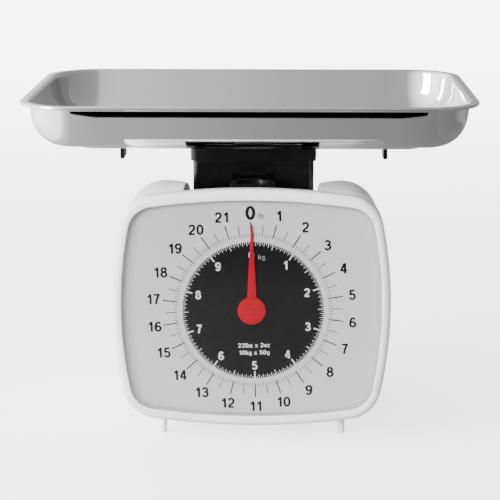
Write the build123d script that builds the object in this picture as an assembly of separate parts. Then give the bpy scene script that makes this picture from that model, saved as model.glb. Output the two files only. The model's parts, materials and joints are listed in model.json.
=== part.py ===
from build123d import *
import math
import os

# Mechanical dial platform scale, mm. Origin on the floor under the middle of the tray.
# +X is the user's right, +Y points away from the dial, +Z is up.

# Tray
TRAY_HALF_X, TRAY_HALF_Y = 140.0, 92.0
TRAY_TOP = 213.0
TRAY_UNDER = 182.5
TRAY_SHEET = 0.7
TRAY_CORNER = 34.0
FLANGE_WIDTH = 5.5
LIP_DEPTH = 2.3
PAN_DRAFT = 8.0
PAN_BEND = 20.0
BASE_STEP = 2.5

# The tray sits a little to the left, so everything below it is this far to the right of the origin.
HEAD_SHIFT = 1.8

# Face outline shared by the bezel, the dial and the housing
FACE_Z = 85.9
FACE_HALF_X, FACE_HALF_Z = 85.7, 75.4
SIDE_BULGE_R, TOP_BULGE_R = 265.0, 430.0
FACE_CORNER = 22.0

# Stations along Y, front to back
BEZEL_FRONT = -80.0
BEZEL_LIP = 2.2
BEZEL_ROUND = 4.0
BEZEL_BACK = -71.0
LENS_SHEET = 1.5
DIAL_FRONT = -72.0
DIAL_SHEET = 1.2
HOUSING_BACK = 60.0
WINDOW_BORDER = 5.5
WINDOW_EXTRA_Z = 1.2
COVE_SIDE, COVE_TOP = 8.0, 0.8
FIT_GAP = 0.3

# Housing
WALL = 2.2
OPENING_HALF_X = 42.0
OPENING_BACK = 24.0
SKIRT_WALL = 1.5
SKIRT_BOTTOM = 132.0
SECTION_POINTS = 48
DIP_HALF_X = 62.0

# Column and carrier
COLUMN_HALF_X, COLUMN_HALF_Y = 38.65, 20.0
COLUMN_WALL = 2.0
COLUMN_BOTTOM = 124.0
CARRIER_SHEET = 3.0
COLLAR_WALL = 1.3
COLLAR_BOTTOM = 168.3
RIB_X = 84.8
RIB_THICK = 2.6
RIB_BOTTOM = 167.4

# Movement
STEEL = 1.5
ARBOR_Z = 84.0
ARBOR_R = 1.2
PINION_MODULE = 0.4
PINION_TEETH = 10
RACK_Y = -50.0
RUN_GAP = 0.05
TRAVEL = 12.566
FRAME_BASE = 22.0
FRONT_PLATE_BACK = -64.5
BRIDGE_FRONT = -31.5
KNOB_Y = -40.0
KNOB_R = 14.0
KNOB_BOTTOM, KNOB_TOP = 148.0, 158.0
BRACKET_Z = 145.0
SCREW_R = 2.5
YOKE_BOTTOM, YOKE_TOP = 128.0, 132.0
SPRING_X = 25.0
SPRING_R = 4.4
WIRE_R = 0.6
ANCHOR_Z = 40.0

# Parallel levers
LEVER_LENGTH = 46.0
LEVER_PIN_R = 1.5
SHAFT_R = 2.0
UPPER_PIN_Z, LOWER_PIN_Z = 104.0, 50.0
SIDE_PLATE_X = 32.0
LEVER_X = 37.0
EAR_X = 44.0
SHAFT_Y = LEVER_LENGTH
LEVER_DROP = TRAVEL / 2
UPPER_SHAFT_Z, LOWER_SHAFT_Z = UPPER_PIN_Z - LEVER_DROP, LOWER_PIN_Z - LEVER_DROP

# Feet
FOOT_X, FOOT_R = 56.5, 2.3
FOOT_FRONT_Y, FOOT_BACK_Y = -60.0, 46.0
FOOT_TOP = 26.0
FOOT_SPOTS = [(x, y) for y in (FOOT_FRONT_Y, FOOT_BACK_Y) for x in (-FOOT_X, FOOT_X)]

# Fasteners
TAP_R = 1.25
FRAME_SCREW_SPOTS = [(-40, -52), (40, -52), (-30, 50), (30, 50)]
PILLAR_SPOTS = [(x, z) for z in (72, 96) for x in (-12, 12)]
COLUMN_SCREW_X = (-22, 22)
BRACKET_SCREW_X, BRACKET_SCREW_Z = (-8, 8), 141.5
RIVET_X, RIVET_YS, RIVET_R = 5, (-9, -5), 0.82
RACK_PIN_R, RACK_PIN_DROP = 1.0, 5.0


def block(x_low, x_high, y_low, y_high, z_low, z_high):
    """Box given by its two limits on each axis."""
    size = (x_high - x_low, y_high - y_low, z_high - z_low)
    middle = ((x_low + x_high) / 2, (y_low + y_high) / 2, (z_low + z_high) / 2)
    return Pos(*middle) * Box(*size)


def rod_x(radius, x_low, x_high, y, z):
    return Pos((x_low + x_high) / 2, y, z) * Rot(0, 90, 0) * Cylinder(radius, x_high - x_low)


def rod_y(radius, y_low, y_high, x, z):
    return Pos(x, (y_low + y_high) / 2, z) * Rot(90, 0, 0) * Cylinder(radius, y_high - y_low)


def rod_z(radius, z_low, z_high, x, y):
    return Pos(x, y, (z_low + z_high) / 2) * Cylinder(radius, z_high - z_low)


def save(shape, node, shift=HEAD_SHIFT):
    export_step(Pos(shift, 0, 0) * shape, f"parts/{node}.step")


def group(*solids):
    return Compound(children=list(solids))


def facing_front(y):
    """Plane whose own up is +Z and whose normal points to the front."""
    return Plane((0, y, FACE_Z), x_dir=(1, 0, 0), z_dir=(0, -1, 0))


def face_outline(inset, extra_z=0.0):
    """Bulged square of the dial face, drawn inwards by inset, and by extra_z more at top and bottom."""
    half_x = FACE_HALF_X - inset
    half_z = FACE_HALF_Z - inset - extra_z
    corner_x = half_x - half_z**2 / (2 * SIDE_BULGE_R) * 0.84
    corner_z = half_z - corner_x**2 / (2 * TOP_BULGE_R)
    top = ThreePointArc((-corner_x, corner_z), (0, half_z), (corner_x, corner_z))
    right = ThreePointArc((corner_x, corner_z), (half_x, 0), (corner_x, -corner_z))
    bottom = ThreePointArc((corner_x, -corner_z), (0, -half_z), (-corner_x, -corner_z))
    left = ThreePointArc((-corner_x, -corner_z), (-half_x, 0), (-corner_x, corner_z))
    face = make_face(Curve() + [top, right, bottom, left])
    return fillet(face.vertices(), max(FACE_CORNER - inset, 3))


def face_slab(inset, y_low, y_high, extra_z=0.0):
    """Solid with the face outline, between two stations along Y."""
    sketch = facing_front(y_high) * face_outline(inset, extra_z)
    return extrude(sketch, amount=y_high - y_low)


def rounded_box(half_x, half_y, corner, z_low, z_high, taper=0.0):
    sketch = Plane.XY.offset(z_high) * RectangleRounded(2 * half_x, 2 * half_y, corner)
    return extrude(sketch, amount=-(z_high - z_low), taper=taper)


# Tray

def pan(inset):
    """Outside of the pan, drawn inwards by inset, with its bend and its stepped base."""
    half_x = TRAY_HALF_X - FLANGE_WIDTH - inset
    half_y = TRAY_HALF_Y - FLANGE_WIDTH - inset
    floor = TRAY_UNDER + BASE_STEP + inset
    body = rounded_box(half_x, half_y, TRAY_CORNER - FLANGE_WIDTH - inset, floor, TRAY_TOP, PAN_DRAFT)
    low_edges = body.edges().group_by(Axis.Z)[0]
    body = fillet(low_edges, PAN_BEND - inset)
    step_x = half_x - PAN_BEND - BASE_STEP - 5
    step_y = half_y - PAN_BEND - BASE_STEP - 5
    step = rounded_box(step_x, step_y, 14, floor - BASE_STEP, floor + 1)
    return body + step


def make_tray():
    skin = pan(0) - pan(TRAY_SHEET)
    rim = rounded_box(TRAY_HALF_X, TRAY_HALF_Y, TRAY_CORNER, TRAY_TOP - LIP_DEPTH, TRAY_TOP)
    rim = fillet(rim.edges().group_by(Axis.Z)[-1], 0.9)
    under_x = TRAY_HALF_X - 1.4
    under_y = TRAY_HALF_Y - 1.4
    under = rounded_box(under_x, under_y, TRAY_CORNER - 1.4, TRAY_TOP - LIP_DEPTH - 1, TRAY_TOP - TRAY_SHEET)
    rim = rim - under - pan(TRAY_SHEET)
    return skin + rim


# Housing

def section_points(inset, drop, dip, lean):
    """Points round one cross-section: the face outline with its top lowered, dipped and leaning inwards."""
    wire = face_outline(0).wire()
    points = []
    for index in range(SECTION_POINTS):
        spot = wire.position_at(index / SECTION_POINTS)
        z = spot.Y * (1 - inset / FACE_HALF_Z)
        height = max(z, 0) / FACE_HALF_Z
        x = spot.X * (1 - inset / FACE_HALF_X) * (1 - lean * height**2)
        valley = 0.5 + 0.5 * math.cos(math.pi * min(abs(x) / DIP_HALF_X, 1))
        points.append((x, z - (drop + dip * valley) * height))
    return points


def housing_body(shrink, stations):
    """Skin through the cross-sections of the housing, drawn inwards by shrink."""
    faces = []
    for y, drop, dip, tuck, lean in stations:
        outline = Spline(section_points(shrink + tuck, drop, dip, lean), periodic=True)
        faces.append(facing_front(y) * make_face(outline))
    return loft(faces)


def make_housing():
    # Each station: place along Y, drop of the top, dip at its middle, tuck of sides, lean of shoulders.
    outer_stations = [
        (BEZEL_BACK, 0, 0, 0.3, 0),
        (-59, 0, 0.7, 0, 0.012),
        (-46, 0, 3.5, 0, 0.035),
        (-24, 0.8, 16, 0, 0.04),
        (0, 8, 15, 0.3, 0.04),
        (25, 21, 9, 1.2, 0.04),
        (45, 33, 4, 3.2, 0.04),
        (55, 41, 1, 6, 0.04),
        (HOUSING_BACK, 47, 0, 10, 0.04),
    ]
    inner_stations = list(outer_stations)
    inner_stations[0] = (BEZEL_BACK - 1, 0, 0, 0.3, 0)
    inner_stations[-1] = (HOUSING_BACK - WALL, 45, 0, 8.5, 0.04)
    outer = housing_body(0, outer_stations)
    inner = housing_body(WALL, inner_stations)
    ledge = face_slab(WALL - 0.6, BEZEL_BACK, BEZEL_BACK + 2)
    ledge = ledge - face_slab(WINDOW_BORDER, BEZEL_FRONT, 0, WINDOW_EXTRA_Z)
    shell = outer - inner + (ledge & outer)
    skirt = block(-OPENING_HALF_X - SKIRT_WALL, OPENING_HALF_X + SKIRT_WALL,
                  BEZEL_BACK, OPENING_BACK + SKIRT_WALL, SKIRT_BOTTOM, 170)
    shell = shell + (skirt & outer)
    cut_bottom = SKIRT_BOTTOM - 22
    shell = shell - block(-OPENING_HALF_X, OPENING_HALF_X, BEZEL_BACK - 1, OPENING_BACK, cut_bottom, 170)
    for x, y in FRAME_SCREW_SPOTS:
        boss = rod_z(4, 8, FRAME_BASE, x, y)
        shell = shell + (boss & outer) - rod_z(1.3, 14.5, FRAME_BASE + 1, x, y)
    for x, y in FOOT_SPOTS:
        boss = rod_z(4.4, 8, FOOT_TOP + 1.5, x, y)
        shell = shell + (boss & outer) - rod_z(FOOT_R + 0.02, 0, FOOT_TOP, x, y)
    return shell


# Front: bezel, lens, dial

def make_bezel():
    ring = face_slab(0, BEZEL_FRONT, BEZEL_BACK)
    front_edge = ring.edges().group_by(Axis.Y)[0]
    ring = fillet(front_edge, BEZEL_ROUND)
    ring = chamfer(ring.edges().group_by(Axis.Y)[-1], 0.5)
    window = face_slab(WINDOW_BORDER, BEZEL_FRONT - 1, BEZEL_BACK + 1, WINDOW_EXTRA_Z)
    recess = face_slab(WALL, BEZEL_FRONT + BEZEL_LIP, BEZEL_BACK + 1)
    ring = ring - window - recess
    return ring


def dish(offset):
    """Hollow of the dial's front face, moved back by offset."""
    y_edge = BEZEL_FRONT + BEZEL_LIP + LENS_SHEET + offset
    y_flat = DIAL_FRONT + offset
    wide = facing_front(y_edge) * face_outline(WINDOW_BORDER - 0.4 - offset, WINDOW_EXTRA_Z)
    narrow_extra_z = WINDOW_EXTRA_Z - COVE_SIDE + COVE_TOP
    narrow = facing_front(y_flat) * face_outline(WINDOW_BORDER - 0.4 + COVE_SIDE - offset, narrow_extra_z)
    return loft([wide, narrow], ruled=True)


def make_dial_plate():
    y_edge = BEZEL_FRONT + BEZEL_LIP + LENS_SHEET
    plate = face_slab(WALL + FIT_GAP, y_edge, BEZEL_BACK)
    hollow = face_slab(WALL + FIT_GAP + DIAL_SHEET, y_edge + DIAL_SHEET, BEZEL_BACK + 1)
    plate = plate - (hollow - dish(DIAL_SHEET)) - dish(0)
    return plate - rod_y(3, -80, -60, 0, ARBOR_Z)


def make_lens():
    y_front = BEZEL_FRONT + BEZEL_LIP
    return face_slab(WALL + FIT_GAP, y_front, y_front + LENS_SHEET)


# Column and carrier

def make_column():
    outer = block(-COLUMN_HALF_X, COLUMN_HALF_X, -COLUMN_HALF_Y, COLUMN_HALF_Y,
                  COLUMN_BOTTOM, TRAY_UNDER - CARRIER_SHEET)
    outer = fillet(outer.edges().filter_by(Axis.Z), 3)
    hollow = block(-COLUMN_HALF_X + COLUMN_WALL, COLUMN_HALF_X - COLUMN_WALL,
                   -COLUMN_HALF_Y + COLUMN_WALL, COLUMN_HALF_Y - COLUMN_WALL,
                   COLUMN_BOTTOM + 2, TRAY_UNDER - CARRIER_SHEET - 2)
    column = outer - hollow
    for x in COLUMN_SCREW_X:
        column = column + rod_z(4, COLUMN_BOTTOM + 1, COLUMN_BOTTOM + 9, x, 0)
        column = column - rod_z(1.3, COLUMN_BOTTOM, COLUMN_BOTTOM + 8, x, 0)
        column = column + rod_z(4, TRAY_UNDER - 14, TRAY_UNDER - CARRIER_SHEET, x, 0)
        column = column - rod_z(1.3, TRAY_UNDER - 13, TRAY_UNDER - CARRIER_SHEET, x, 0)
    return column


def make_carrier():
    top, under = TRAY_UNDER, TRAY_UNDER - CARRIER_SHEET
    plate = block(-RIB_X - RIB_THICK / 2, RIB_X + RIB_THICK / 2, -9, 9, under, top)
    plate = plate + block(-46, 46, -38, 38, under, top)
    collar_x = COLUMN_HALF_X + 0.2 + COLLAR_WALL
    collar_y = COLUMN_HALF_Y + 0.2 + COLLAR_WALL
    collar = block(-collar_x, collar_x, -collar_y, collar_y, COLLAR_BOTTOM, under)
    collar = fillet(collar.edges().filter_by(Axis.Z), 4)
    socket = block(-COLUMN_HALF_X - 0.2, COLUMN_HALF_X + 0.2, -COLUMN_HALF_Y - 0.2, COLUMN_HALF_Y + 0.2,
                   COLLAR_BOTTOM - 1, under)
    carrier = plate + (collar - socket)
    for side in (-1, 1):
        rib_x = side * RIB_X
        carrier = carrier + block(rib_x - RIB_THICK / 2, rib_x + RIB_THICK / 2, -9, 9, RIB_BOTTOM, under + 1)
        brace = Polyline((rib_x, under - 5), (rib_x - side * 9, under), (rib_x, under), close=True)
        web = extrude(Plane((0, -1, 0), x_dir=(1, 0, 0), z_dir=(0, -1, 0)) * make_face(brace), amount=-2)
        carrier = carrier + web
    for x in COLUMN_SCREW_X:
        carrier = carrier - rod_z(1.7, under - 1, top + 1, x, 0) - rod_z(3.2, top - 1.6, top + 1, x, 0)
    return carrier


def screw_z(x, y, head_low, shank_end, head_r=2.8, shank_r=1.5, head_high=2.0):
    """Pan-head screw with a cross slot; the shank goes to shank_end, above or below the head."""
    direction = 1 if shank_end > head_low else -1
    seat = head_low + head_high if direction > 0 else head_low
    top = head_low if direction > 0 else head_low + head_high
    head = rod_z(head_r, head_low, head_low + head_high, x, y)
    shank = rod_z(shank_r, min(seat, shank_end), max(seat, shank_end), x, y)
    slot_low = min(top, top + direction * 0.9)
    slot = block(x - 0.4, x + 0.4, y - 1.9, y + 1.9, slot_low, slot_low + 0.9)
    slot = slot + block(x - 1.9, x + 1.9, y - 0.4, y + 0.4, slot_low, slot_low + 0.9)
    return head + shank - slot


def screw_y(x, z, head_back, shank_end):
    """Pan-head screw along Y with its head behind and the shank to the front."""
    head = rod_y(2.4, head_back - 1.6, head_back, x, z)
    shank = rod_y(1.1, shank_end, head_back - 1.6, x, z)
    slot = block(x - 1.7, x + 1.7, head_back - 0.7, head_back, z - 0.35, z + 0.35)
    return head + shank - slot


# Movement frame

def make_mechanism_frame():
    frame = block(-EAR_X - STEEL, EAR_X + STEEL, -66, 54, FRAME_BASE, FRAME_BASE + STEEL)
    frame = frame - block(-20, 20, -4, 30, FRAME_BASE - 1, FRAME_BASE + 2)
    frame = frame + block(-30, 30, FRONT_PLATE_BACK - STEEL, FRONT_PLATE_BACK, FRAME_BASE, 146)
    for side in (-1, 1):
        x_low, x_high = sorted((side * EAR_X, side * (EAR_X + STEEL)))
        ear = block(x_low, x_high, 38, 54, FRAME_BASE, 105)
        frame = frame + ear
    for z in (UPPER_SHAFT_Z, LOWER_SHAFT_Z):
        frame = frame - rod_x(SHAFT_R + 0.02, -60, 60, SHAFT_Y, z)
    for x, y in FRAME_SCREW_SPOTS:
        frame = frame - rod_z(1.8, FRAME_BASE - 1, FRAME_BASE + 3, x, y)
    frame = frame - rod_y(2.5, -70, -60, 0, ARBOR_Z)
    for x, z in PILLAR_SPOTS:
        frame = frame - rod_y(1.2, -70, -60, x, z)
    frame = frame - block(-3.5, 3.5, -70, -60, 118, 141)
    for x in BRACKET_SCREW_X:
        frame = frame - rod_y(1.2, -70, -60, x, BRACKET_SCREW_Z)
    return frame - rod_z(2.02, FRAME_BASE - 1, FRAME_BASE + 3, 0, -20)


def make_bush(y_low, y_high, flange_low, flange_high, outer_r):
    bush = rod_y(outer_r, y_low, y_high, 0, ARBOR_Z)
    bush = bush + rod_y(outer_r + 1.3, flange_low, flange_high, 0, ARBOR_Z)
    return bush - rod_y(ARBOR_R + RUN_GAP, y_low - 1, y_high + 1, 0, ARBOR_Z)


def make_bridge():
    bridge = block(-16, 16, BRIDGE_FRONT, BRIDGE_FRONT + STEEL, 67, 101)
    bridge = fillet(bridge.edges().filter_by(Axis.Y), 4)
    bridge = bridge - rod_y(2.5, -40, -20, 0, ARBOR_Z)
    for x, z in PILLAR_SPOTS:
        bridge = bridge - rod_y(1.3, -40, -20, x, z)
    return bridge


def make_pillar(x, z):
    pillar = rod_y(2.4, FRONT_PLATE_BACK, BRIDGE_FRONT, x, z)
    return pillar - rod_y(1.15, BRIDGE_FRONT - 7, BRIDGE_FRONT, x, z)


# Carriage

def make_carriage_frame():
    top = block(-SIDE_PLATE_X - STEEL, SIDE_PLATE_X + STEEL, -12, 12, COLUMN_BOTTOM - STEEL, COLUMN_BOTTOM)
    frame = top
    for side in (-1, 1):
        x_low, x_high = sorted((side * SIDE_PLATE_X, side * (SIDE_PLATE_X + STEEL)))
        frame = frame + block(x_low, x_high, -8, 8, ANCHOR_Z, COLUMN_BOTTOM)
    shelf = block(-SIDE_PLATE_X - STEEL, SIDE_PLATE_X + STEEL, -46, 8, ANCHOR_Z, ANCHOR_Z + STEEL)
    frame = frame + shelf - block(-14, 14, -50, -28, ANCHOR_Z - 1, ANCHOR_Z + 3)
    for z in (UPPER_PIN_Z, LOWER_PIN_Z):
        frame = frame - rod_x(LEVER_PIN_R + 0.02, -60, 60, 0, z)
    for x in COLUMN_SCREW_X:
        frame = frame - rod_z(1.7, COLUMN_BOTTOM - 3, COLUMN_BOTTOM + 1, x, 0)
    for x in (-SPRING_X, SPRING_X):
        frame = frame - rod_z(1.5, ANCHOR_Z - 1, ANCHOR_Z + 3, x, KNOB_Y)
    for y in RIVET_YS:
        frame = frame - rod_z(RIVET_R + 0.03, COLUMN_BOTTOM - 3, COLUMN_BOTTOM + 1, RIVET_X, y)
    return frame


def make_rack_arm():
    z_high = COLUMN_BOTTOM - STEEL
    arm = block(1, 9, RACK_Y - 4, -3, z_high - STEEL, z_high)
    lug = block(6.6, 8.1, RACK_Y - 4, RACK_Y + 4, z_high - 9, z_high)
    arm = arm + lug - rod_x(RACK_PIN_R + 0.02, 0, 20, RACK_Y, z_high - RACK_PIN_DROP)
    for y in RIVET_YS:
        arm = arm - rod_z(RIVET_R + 0.03, z_high - 3, z_high + 1, RIVET_X, y)
    return arm


def make_rack():
    """Straight-sided teeth on the side facing the pinion, thinned a little for backlash."""
    pitch = math.pi * PINION_MODULE
    pitch_x = PINION_MODULE * PINION_TEETH / 2
    root_x = pitch_x + 0.55
    tip_x = pitch_x - 0.24
    first, last = -3, 12
    points = [(root_x + 2.2, ARBOR_Z + (first - 0.8) * pitch), (root_x, ARBOR_Z + (first - 0.8) * pitch)]
    for tooth in range(first, last + 1):
        middle = ARBOR_Z + tooth * pitch
        points.append((root_x, middle - 0.40))
        points.append((tip_x, middle - 0.14))
        points.append((tip_x, middle + 0.14))
        points.append((root_x, middle + 0.40))
    points.append((root_x, COLUMN_BOTTOM - 2 * STEEL - FIT_GAP))
    points.append((root_x + 2.2, COLUMN_BOTTOM - 2 * STEEL - FIT_GAP))
    side_view = make_face(Polyline(*points, close=True))
    plane = Plane((0, RACK_Y + 1.5, 0), x_dir=(1, 0, 0), z_dir=(0, -1, 0))
    rack = extrude(plane * side_view, amount=3)
    return rack - rod_x(RACK_PIN_R + 0.02, 0, 20, RACK_Y, COLUMN_BOTTOM - STEEL - RACK_PIN_DROP)


def make_pinion():
    """Ten narrow teeth with curved flanks, one gap centred on the rack's middle tooth."""
    pitch_r = PINION_MODULE * PINION_TEETH / 2
    radii_and_halves = [(pitch_r - 0.42, 0.145), (pitch_r, 0.115), (pitch_r + 0.3, 0.045)]
    points = []
    for tooth in range(PINION_TEETH):
        centre = (tooth + 0.5) * 2 * math.pi / PINION_TEETH
        for radius, half in radii_and_halves:
            points.append((radius * math.cos(centre - half), radius * math.sin(centre - half)))
        for radius, half in reversed(radii_and_halves):
            points.append((radius * math.cos(centre + half), radius * math.sin(centre + half)))
    plane = Plane((0, RACK_Y + 2, ARBOR_Z), x_dir=(1, 0, 0), z_dir=(0, -1, 0))
    pinion = extrude(plane * make_face(Polyline(*points, close=True)), amount=4)
    return pinion - rod_y(ARBOR_R + 0.02, RACK_Y - 5, RACK_Y + 5, 0, ARBOR_Z)


def make_lever(pin_z, cross_high):
    """U-shaped lever: a tube on the fixed shaft and two arms slotted for the carriage pin."""
    pivot_z = pin_z - LEVER_DROP
    rise = math.degrees(math.atan2(LEVER_DROP, LEVER_LENGTH))
    tube = rod_x(3.6, -LEVER_X - 1, LEVER_X + 1, 0, 0)
    lever = tube
    for side in (-1, 1):
        x_low, x_high = sorted((side * (LEVER_X - 1), side * (LEVER_X + 1)))
        arm = block(x_low, x_high, -LEVER_LENGTH, 0, -4, 4) + rod_x(4, x_low, x_high, -LEVER_LENGTH, 0)
        lever = lever + arm
    lever = lever + block(-LEVER_X + 1, LEVER_X - 1, -18, -15, -1, cross_high)
    lever = lever - rod_x(SHAFT_R + RUN_GAP, -60, 60, 0, 0)
    slot = block(-60, 60, -LEVER_LENGTH - 1.2, -LEVER_LENGTH + 0.8, -1.9, 1.9)
    slot = slot + rod_x(1.9, -60, 60, -LEVER_LENGTH - 1.2, 0) + rod_x(1.9, -60, 60, -LEVER_LENGTH + 0.8, 0)
    lever = lever - slot
    return Pos(0, SHAFT_Y, pivot_z) * Rot(-rise, 0, 0) * lever


# Pointer and zero adjustment

def make_pointer():
    hub = rod_y(8.9, -75.4, -74.0, 0, ARBOR_Z)
    hub = fillet(hub.edges().group_by(Axis.Y)[0], 0.9)
    blade_side = [(3.0, 0), (2.7, 12), (0.45, 54.4)]
    mirrored_side = [(-x, z) for x, z in reversed(blade_side)]
    blade = Polyline(*blade_side, (0, 55), *mirrored_side, close=True)
    plane = Plane((0, -74.0, ARBOR_Z), x_dir=(1, 0, 0), z_dir=(0, -1, 0))
    pointer = hub + extrude(plane * make_face(blade), amount=0.7)
    return pointer - rod_y(ARBOR_R + 0.02, -90, -60, 0, ARBOR_Z)


def make_knob():
    ribs = 56
    points = []
    for index in range(2 * ribs):
        radius = KNOB_R if index % 2 == 0 else KNOB_R - 0.9
        angle = math.pi * index / ribs
        points.append((radius * math.cos(angle), radius * math.sin(angle)))
    sketch = Plane.XY.offset(KNOB_BOTTOM) * make_face(Polyline(*points, close=True))
    knob = Pos(0, KNOB_Y, 0) * extrude(sketch, amount=KNOB_TOP - KNOB_BOTTOM)
    knob = knob - rod_z(10.5, KNOB_TOP - 1.2, KNOB_TOP + 1, 0, KNOB_Y)
    return knob - rod_z(SCREW_R + 0.02, KNOB_BOTTOM - 1, KNOB_TOP - 3, 0, KNOB_Y)


def make_yoke():
    bar = block(-SPRING_X - 6, SPRING_X + 6, KNOB_Y - 4.5, KNOB_Y + 4.5, YOKE_BOTTOM, YOKE_TOP)
    bar = fillet(bar.edges().filter_by(Axis.Z), 3)
    tongue = block(-3.1, 3.1, FRONT_PLATE_BACK - 2.5, KNOB_Y, YOKE_BOTTOM, YOKE_TOP)
    bar = bar + tongue - rod_z(SCREW_R + RUN_GAP, YOKE_BOTTOM - 1, YOKE_TOP + 1, 0, KNOB_Y)
    for x in (-SPRING_X, SPRING_X):
        bar = bar - rod_z(1.5, YOKE_BOTTOM - 1, YOKE_TOP + 1, x, KNOB_Y)
    return bar


def make_spring(x):
    """Ribbed sleeve in the outline of the coil, with a straight tail at each end."""
    coil_low, coil_high = ANCHOR_Z + 14, YOKE_BOTTOM - 8
    coils = 16
    pitch = (coil_high - coil_low) / coils
    inner = SPRING_R - WIRE_R
    edges = [Line((inner, coil_low), (inner, coil_high)), Line((inner, coil_high), (SPRING_R, coil_high))]
    crest = SPRING_R + WIRE_R
    for index in reversed(range(coils)):
        low = coil_low + index * pitch
        edges.append(ThreePointArc((SPRING_R, low + pitch), (crest, low + pitch / 2), (SPRING_R, low)))
    edges.append(Line((SPRING_R, coil_low), (inner, coil_low)))
    sleeve = revolve(Plane.XZ * make_face(Curve() + edges), Axis.Z)
    spring = Pos(x, KNOB_Y, 0) * sleeve
    for z, tail_low, tail_high in (
        (coil_low + WIRE_R, ANCHOR_Z + 2.2, coil_low + 2 * WIRE_R),
        (coil_high - WIRE_R, coil_high - 2 * WIRE_R, YOKE_BOTTOM - 1.4),
    ):
        spring = spring + rod_x(WIRE_R, x - SPRING_R, x + SPRING_R, KNOB_Y, z)
        spring = spring + rod_z(WIRE_R, tail_low, tail_high, x, KNOB_Y)
    return spring


def make_foot(x, y):
    foot = rod_z(FOOT_R, 0, FOOT_TOP - 0.2, x, y)
    return fillet(foot.edges().group_by(Axis.Z)[0], 1.1)


def make_knob_bracket():
    back = FRONT_PLATE_BACK
    bracket = block(-12, 12, back, KNOB_Y + 9, BRACKET_Z, BRACKET_Z + STEEL)
    bracket = bracket + block(-12, 12, back, back + STEEL, 137, BRACKET_Z)
    bracket = bracket - rod_z(SCREW_R + RUN_GAP, BRACKET_Z - 1, BRACKET_Z + 3, 0, KNOB_Y)
    bracket = bracket - block(-3.5, 3.5, back - 1, back + 2, 136, 141)
    for x in BRACKET_SCREW_X:
        bracket = bracket - rod_y(1.2, back - 5, back + 5, x, BRACKET_SCREW_Z)
    return bracket


def make_shaft_clips():
    clips = []
    for z in (UPPER_SHAFT_Z, LOWER_SHAFT_Z):
        for side in (-1, 1):
            x_low, x_high = sorted((side * (EAR_X + STEEL + 0.1), side * (EAR_X + STEEL + 0.9)))
            clips.append(rod_x(4, x_low, x_high, SHAFT_Y, z) - rod_x(SHAFT_R + 0.02, -60, 60, SHAFT_Y, z))
    return group(*clips)


def make_pointer_cap():
    cap = rod_y(2.0, -75.9, -75.42, 0, ARBOR_Z)
    return fillet(cap.edges().group_by(Axis.Y)[0], 0.3)


def make_rack_spring():
    """Thin strip that presses the rack towards the pinion."""
    low_end, high_end = 100, COLUMN_BOTTOM - 2 * STEEL
    strip = block(5.0, 5.3, RACK_Y - 1.2, RACK_Y + 1.2, low_end, high_end)
    return strip - rod_x(RACK_PIN_R + 0.05, 0, 20, RACK_Y, COLUMN_BOTTOM - STEEL - RACK_PIN_DROP)


def make_overload_stop():
    bumper_top = ANCHOR_Z - TRAVEL - 0.35
    plug = rod_z(2, FRAME_BASE, FRAME_BASE + 3, 0, -20)
    return rod_z(5, FRAME_BASE + STEEL, bumper_top, 0, -20) + plug


# One file for each sub-part

def save_platform():
    save(make_tray(), "tray", shift=0)
    save(make_carrier(), "tray_carrier")
    save(make_column(), "load_column")
    seat = TRAY_UNDER - 1.6
    carrier_screws = [screw_z(x, 0, seat, TRAY_UNDER - 12, 2.9, TAP_R, 1.4) for x in COLUMN_SCREW_X]
    save(group(*carrier_screws), "carrier_screws")
    seat = COLUMN_BOTTOM - STEEL - 2
    column_screws = [screw_z(x, 0, seat, COLUMN_BOTTOM + 7, 2.8, TAP_R) for x in COLUMN_SCREW_X]
    save(group(*column_screws), "column_screws")


def save_case():
    save(make_housing(), "housing")
    save(make_bezel(), "front_bezel")
    save(make_lens(), "lens")
    save(make_dial_plate(), "dial_plate")
    foot_names = ["front_left_foot", "front_right_foot", "rear_left_foot", "rear_right_foot"]
    for name, (x, y) in zip(foot_names, FOOT_SPOTS):
        save(make_foot(x, y), name)


def save_movement_frame():
    save(make_mechanism_frame(), "mechanism_frame")
    seat = FRAME_BASE + STEEL
    frame_screws = [screw_z(x, y, seat, FRAME_BASE - 7, 3.2, TAP_R) for x, y in FRAME_SCREW_SPOTS]
    save(group(*frame_screws), "frame_screws")
    save(make_bush(-66.8, -62.5, -64.5, -63.3, 2.45), "front_bush")
    save(make_bush(-32.6, -29.2, -32.8, -31.5, 2.45), "rear_bush")
    save(make_bridge(), "movement_bridge")
    save(group(*[make_pillar(x, z) for x, z in PILLAR_SPOTS]), "bridge_pillars")
    head_back = BRIDGE_FRONT + STEEL + 1.6
    bridge_screws = [screw_y(x, z, head_back, BRIDGE_FRONT - 6) for x, z in PILLAR_SPOTS]
    save(group(*bridge_screws), "bridge_screws")
    save(make_overload_stop(), "overload_stop")


def save_levers():
    half_shaft = EAR_X + STEEL + 2.2
    save(rod_x(SHAFT_R, -half_shaft, half_shaft, SHAFT_Y, UPPER_SHAFT_Z), "upper_lever_shaft")
    save(rod_x(SHAFT_R, -half_shaft, half_shaft, SHAFT_Y, LOWER_SHAFT_Z), "lower_lever_shaft")
    save(make_shaft_clips(), "shaft_clips")
    save(make_lever(UPPER_PIN_Z, 3), "upper_lever")
    save(make_lever(LOWER_PIN_Z, 3), "lower_lever")


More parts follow.
